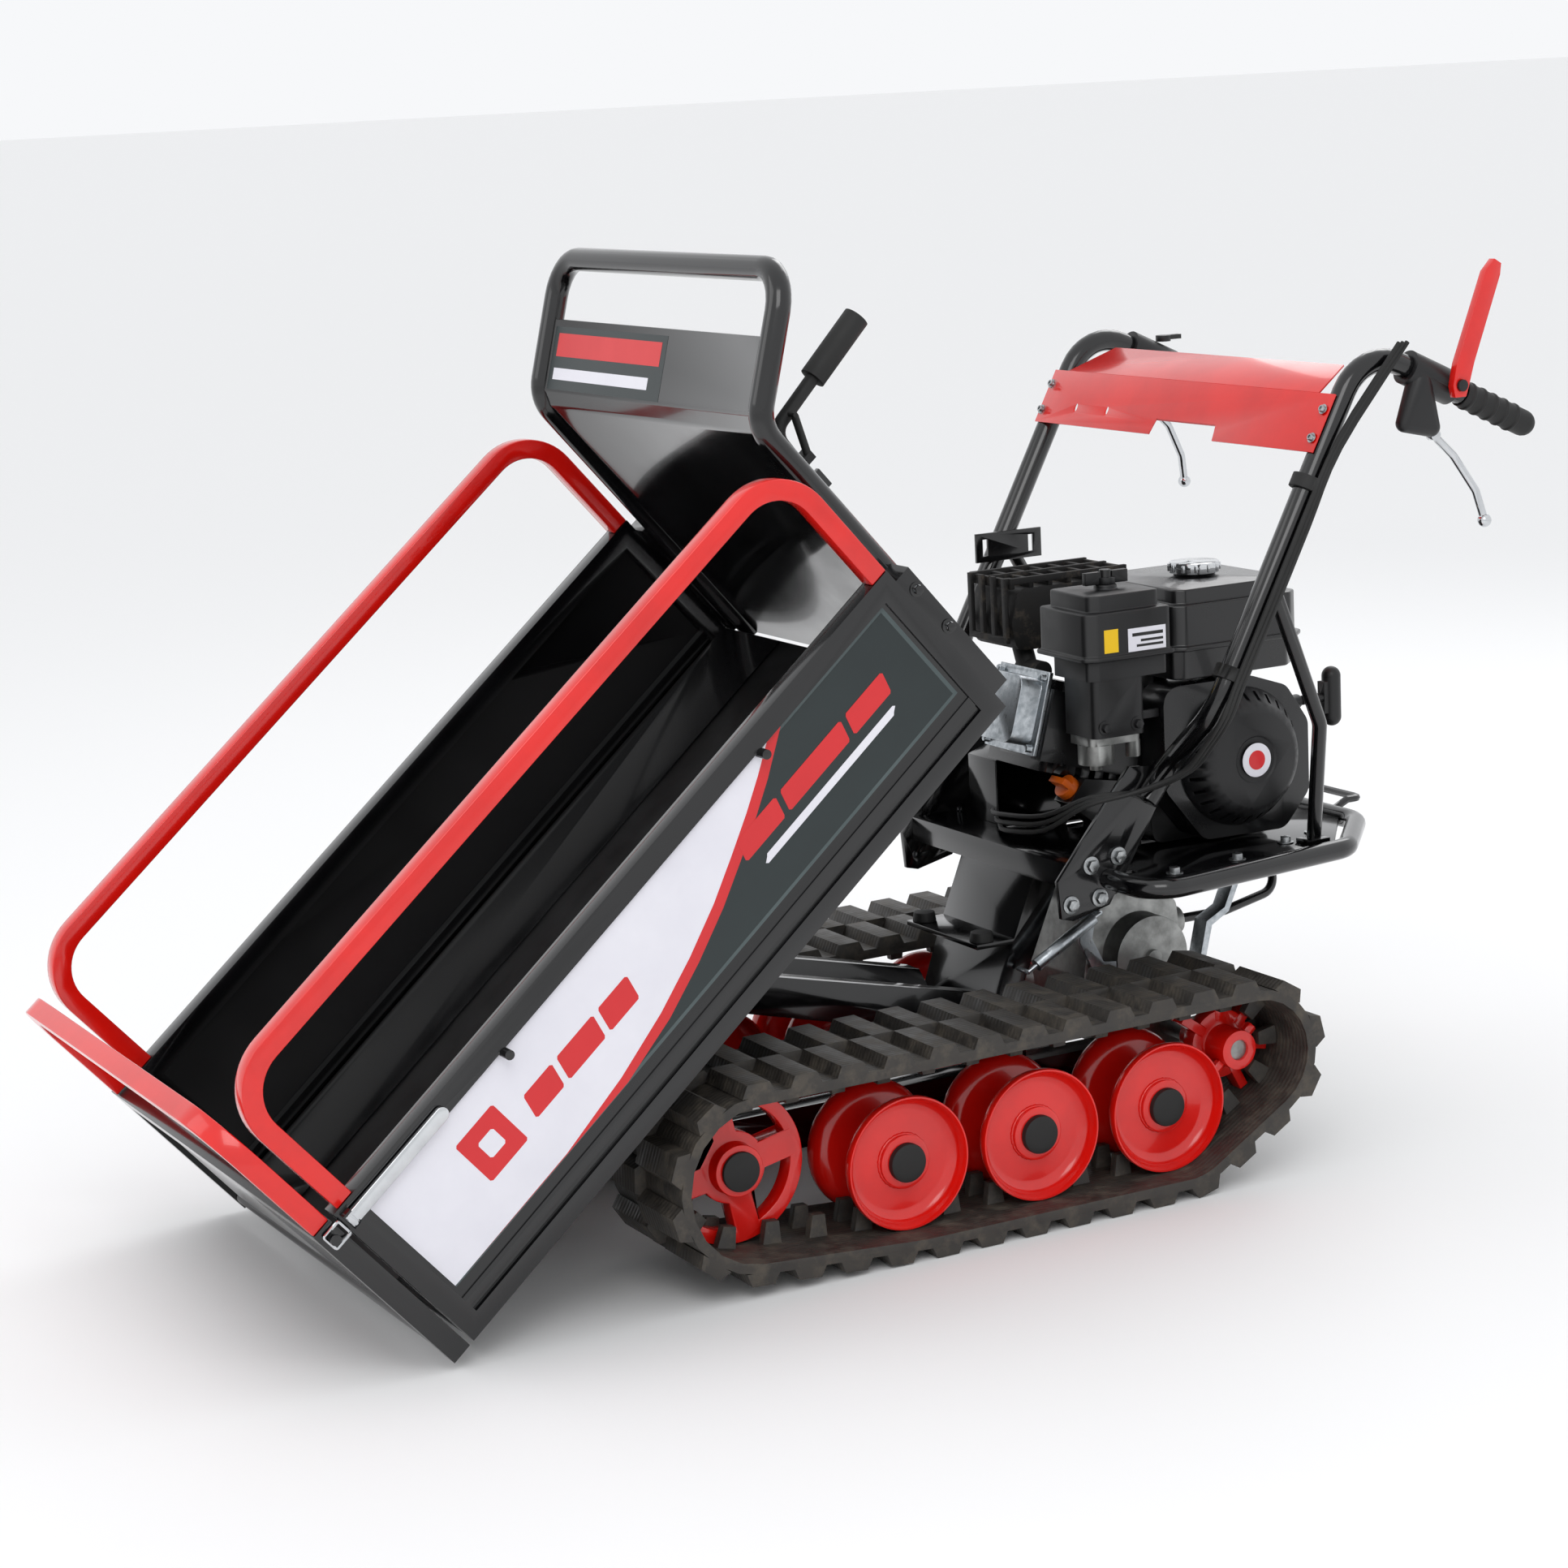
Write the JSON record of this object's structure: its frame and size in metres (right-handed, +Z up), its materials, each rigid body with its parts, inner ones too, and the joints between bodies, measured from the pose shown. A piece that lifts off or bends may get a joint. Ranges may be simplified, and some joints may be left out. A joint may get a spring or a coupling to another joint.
{
  "type": "power wheelbarrow",
  "caption": "Tracked power wheelbarrow: a walk-behind machine with rubber tracks, a small petrol engine, tall handles and a tipping load bed with guard rails and a drop gate.",
  "frame": {"origin": "middle of the machine on the ground, at the centre of its bounding box", "axes": "+X towards the dump end, +Y towards the machine's left side, +Z up"},
  "size_m": [1.7604, 0.7, 1.1377],
  "materials": {
    "red_paint": "gloss",
    "black_paint": "gloss",
    "rubber": "matt",
    "soft_grip": "matt",
    "casting": "as cast",
    "zinc_steel": "zinc plated",
    "chrome_steel": "polished",
    "black_plastic": "matt",
    "orange_plastic": "satin",
    "engine_casting": "black painted",
    "heat_steel": "heat-proof black"
  },
  "bodies": {
    "chassis": {"chassis_frame": "black_paint", "track_left": "rubber", "track_right": "rubber", "gearbox": "casting", "gearbox_linkage": "zinc_steel", "drive_belt": "casting", "belt_guard": "black_paint", "engine_block": "engine_casting", "valve_cover": "zinc_steel", "engine_shroud": "black_paint", "recoil_cover": "black_plastic", "starter_rope": "soft_grip", "fuel_tank": "black_plastic", "air_filter_cover": "black_plastic", "air_filter_base": "black_plastic", "carburettor": "zinc_steel", "muffler": "heat_steel", "muffler_guard": "heat_steel", "engine_deck": "black_paint", "deck_rail": "black_paint", "handle_tubes": "black_paint", "hood_panel": "red_paint", "hand_grips": "soft_grip", "lever_housings": "black_plastic", "control_cables": "black_plastic", "frame_bolts": "zinc_steel", "bump_stops": "soft_grip"},
    "bed": {"bed_floor": "black_paint", "headboard": "black_paint"},
    "side_left": {"side_panel_left": "black_paint", "side_rail_left": "red_paint"},
    "side_right": {"side_panel_right": "black_paint", "side_rail_right": "red_paint"},
    "gate": {"gate_panel": "black_paint", "gate_rail": "red_paint"},
    "starter_grip": {"starter_grip": "black_plastic"},
    "fuel_cap": {"fuel_cap": "chrome_steel"},
    "filter_knob": {"filter_knob": "black_plastic"},
    "choke_lever": {"choke_lever": "black_plastic"},
    "dipstick": {"dipstick": "orange_plastic"},
    "clutch_lever": {"clutch_lever": "red_paint"},
    "steering_lever_left": {"steering_lever_left": "chrome_steel"},
    "steering_lever_right": {"steering_lever_right": "chrome_steel"},
    "throttle_lever": {"throttle_lever": "red_paint"},
    "gear_lever": {"gear_lever": "zinc_steel"},
    "sprocket_left": {"sprocket_left": "red_paint"},
    "sprocket_right": {"sprocket_right": "red_paint"},
    "idler_left": {"idler_left": "red_paint"},
    "idler_right": {"idler_right": "red_paint"},
    "roller_front_left": {"roller_front_left": "red_paint"},
    "roller_middle_left": {"roller_middle_left": "red_paint"},
    "roller_rear_left": {"roller_rear_left": "red_paint"},
    "roller_front_right": {"roller_front_right": "red_paint"},
    "roller_middle_right": {"roller_middle_right": "red_paint"},
    "roller_rear_right": {"roller_rear_right": "red_paint"},
    "gate_latch_left": {"gate_latch_left": "black_paint"},
    "gate_latch_right": {"gate_latch_right": "black_paint"},
    "gate_bail_left": {"gate_bail_left": "chrome_steel"},
    "gate_bail_right": {"gate_bail_right": "chrome_steel"},
    "tip_lever": {"tip_lever": "black_paint"}
  },
  "joints": [
    {"name": "bed_tip", "type": "hinge", "parent": "chassis", "child": "bed", "pos_m": [0.21938, 0, 0.318], "axis": [0, 1, 0], "range_deg": [-40.8, 0]},
    {"name": "side_left_slide", "type": "slide", "parent": "bed", "child": "side_left", "axis": [0, 1, 0], "range_m": [0, 0.12]},
    {"name": "side_right_slide", "type": "slide", "parent": "bed", "child": "side_right", "axis": [0, -1, 0], "range_m": [0, 0.12]},
    {"name": "gate_hinge", "type": "hinge", "parent": "bed", "child": "gate", "pos_m": [0.62225, 0, 0.0264], "axis": [0, 1, 0], "range_deg": [0, 90]},
    {"name": "gate_latch_left_swing", "type": "hinge", "parent": "side_left", "child": "gate_latch_left", "pos_m": [0.72852, 0.3413, 0.19161], "axis": [-0.6534, 0, -0.757], "range_deg": [0, 120]},
    {"name": "gate_latch_right_swing", "type": "hinge", "parent": "side_right", "child": "gate_latch_right", "pos_m": [0.72852, -0.3413, 0.19161], "axis": [0.6534, 0, 0.757], "range_deg": [0, 120]},
    {"name": "gate_bail_left_swing", "type": "hinge", "parent": "gate", "child": "gate_bail_left", "pos_m": [0.74896, 0.3413, 0.17397], "axis": [0, 1, 0], "range_deg": [0, 100]},
    {"name": "gate_bail_right_swing", "type": "hinge", "parent": "gate", "child": "gate_bail_right", "pos_m": [0.74896, -0.3413, 0.17397], "axis": [0, 1, 0], "range_deg": [0, 100]},
    {"name": "tip_lever_lift", "type": "hinge", "parent": "bed", "child": "tip_lever", "pos_m": [0.0709, 0.205, 0.8821], "axis": [0, 1, 0], "range_deg": [0, 12], "stiffness_Nm_per_rad": 3, "springref_deg": -17.19},
    {"name": "clutch_lever_squeeze", "type": "hinge", "parent": "chassis", "child": "clutch_lever", "pos_m": [-0.74732, 0.3153, 0.92737], "axis": [0, -1, 0], "range_deg": [0, 35], "stiffness_Nm_per_rad": 1, "springref_deg": -22.92},
    {"name": "steering_lever_left_squeeze", "type": "hinge", "parent": "chassis", "child": "steering_lever_left", "pos_m": [-0.72413, 0.3, 0.86905], "axis": [0, 1, 0], "range_deg": [0, 24], "stiffness_Nm_per_rad": 0.6, "springref_deg": -22.92},
    {"name": "steering_lever_right_squeeze", "type": "hinge", "parent": "chassis", "child": "steering_lever_right", "pos_m": [-0.72413, -0.3, 0.86905], "axis": [0, 1, 0], "range_deg": [0, 24], "stiffness_Nm_per_rad": 0.6, "springref_deg": -22.92},
    {"name": "throttle_turn", "type": "hinge", "parent": "chassis", "child": "throttle_lever", "pos_m": [-0.7455, -0.294, 0.95461], "axis": [0, 0, 1], "range_deg": [-15, 60]},
    {"name": "gear_lever_shift", "type": "hinge", "parent": "chassis", "child": "gear_lever", "pos_m": [-0.54192, 0, 0.246], "axis": [1, 0, 0], "range_deg": [-12, 12]},
    {"name": "starter_pull", "type": "slide", "parent": "chassis", "child": "starter_grip", "axis": [-1, 0, 0], "range_m": [0, 0.5], "stiffness_N_per_m": 20, "springref_m": -0.4, "deforming": ["starter_rope"]},
    {"name": "fuel_cap_turn", "type": "hinge", "parent": "chassis", "child": "fuel_cap", "pos_m": [-0.55062, 0.045, 0.6983], "axis": [0, 0, 1], "range_deg": [0, 90]},
    {"name": "filter_knob_turn", "type": "hinge", "parent": "chassis", "child": "filter_knob", "pos_m": [-0.37162, 0.116, 0.7103], "axis": [0, 0, 1], "range_deg": [0, 360]},
    {"name": "dipstick_turn", "type": "hinge", "parent": "chassis", "child": "dipstick", "pos_m": [-0.37362, 0.078, 0.424], "axis": [0.766, 0, 0.6428], "range_deg": [0, 360]},
    {"name": "choke_turn", "type": "hinge", "parent": "chassis", "child": "choke_lever", "pos_m": [-0.39892, 0.132, 0.548], "axis": [0, 1, 0], "range_deg": [0, 40]},
    {"name": "sprocket_left_spin", "type": "hinge", "parent": "chassis", "child": "sprocket_left", "pos_m": [-0.42962, 0.24, 0.156], "axis": [0, 1, 0], "continuous": true},
    {"name": "idler_left_spin", "type": "hinge", "parent": "chassis", "child": "idler_left", "pos_m": [0.24038, 0.24, 0.13], "axis": [0, 1, 0], "continuous": true},
    {"name": "roller_front_left_spin", "type": "hinge", "parent": "chassis", "child": "roller_front_left", "pos_m": [0.03338, 0.24, 0.104], "axis": [0, 1, 0], "continuous": true},
    {"name": "roller_middle_left_spin", "type": "hinge", "parent": "chassis", "child": "roller_middle_left", "pos_m": [-0.14562, 0.24, 0.104], "axis": [0, 1, 0], "continuous": true},
    {"name": "roller_rear_left_spin", "type": "hinge", "parent": "chassis", "child": "roller_rear_left", "pos_m": [-0.32462, 0.24, 0.104], "axis": [0, 1, 0], "continuous": true},
    {"name": "sprocket_right_spin", "type": "hinge", "parent": "chassis", "child": "sprocket_right", "pos_m": [-0.42962, -0.24, 0.156], "axis": [0, 1, 0], "continuous": true},
    {"name": "idler_right_spin", "type": "hinge", "parent": "chassis", "child": "idler_right", "pos_m": [0.24038, -0.24, 0.13], "axis": [0, 1, 0], "continuous": true},
    {"name": "roller_front_right_spin", "type": "hinge", "parent": "chassis", "child": "roller_front_right", "pos_m": [0.03338, -0.24, 0.104], "axis": [0, 1, 0], "continuous": true},
    {"name": "roller_middle_right_spin", "type": "hinge", "parent": "chassis", "child": "roller_middle_right", "pos_m": [-0.14562, -0.24, 0.104], "axis": [0, 1, 0], "continuous": true},
    {"name": "roller_rear_right_spin", "type": "hinge", "parent": "chassis", "child": "roller_rear_right", "pos_m": [-0.32462, -0.24, 0.104], "axis": [0, 1, 0], "continuous": true}
  ],
  "couplings": [
    {"joint": "idler_left_spin", "follows": "sprocket_left_spin", "ratio": 0.7835},
    {"joint": "roller_front_left_spin", "follows": "sprocket_left_spin", "ratio": 0.962},
    {"joint": "roller_middle_left_spin", "follows": "sprocket_left_spin", "ratio": 0.962},
    {"joint": "roller_rear_left_spin", "follows": "sprocket_left_spin", "ratio": 0.962},
    {"joint": "idler_right_spin", "follows": "sprocket_right_spin", "ratio": 0.7835},
    {"joint": "roller_front_right_spin", "follows": "sprocket_right_spin", "ratio": 0.962},
    {"joint": "roller_middle_right_spin", "follows": "sprocket_right_spin", "ratio": 0.962},
    {"joint": "roller_rear_right_spin", "follows": "sprocket_right_spin", "ratio": 0.962}
  ]
}
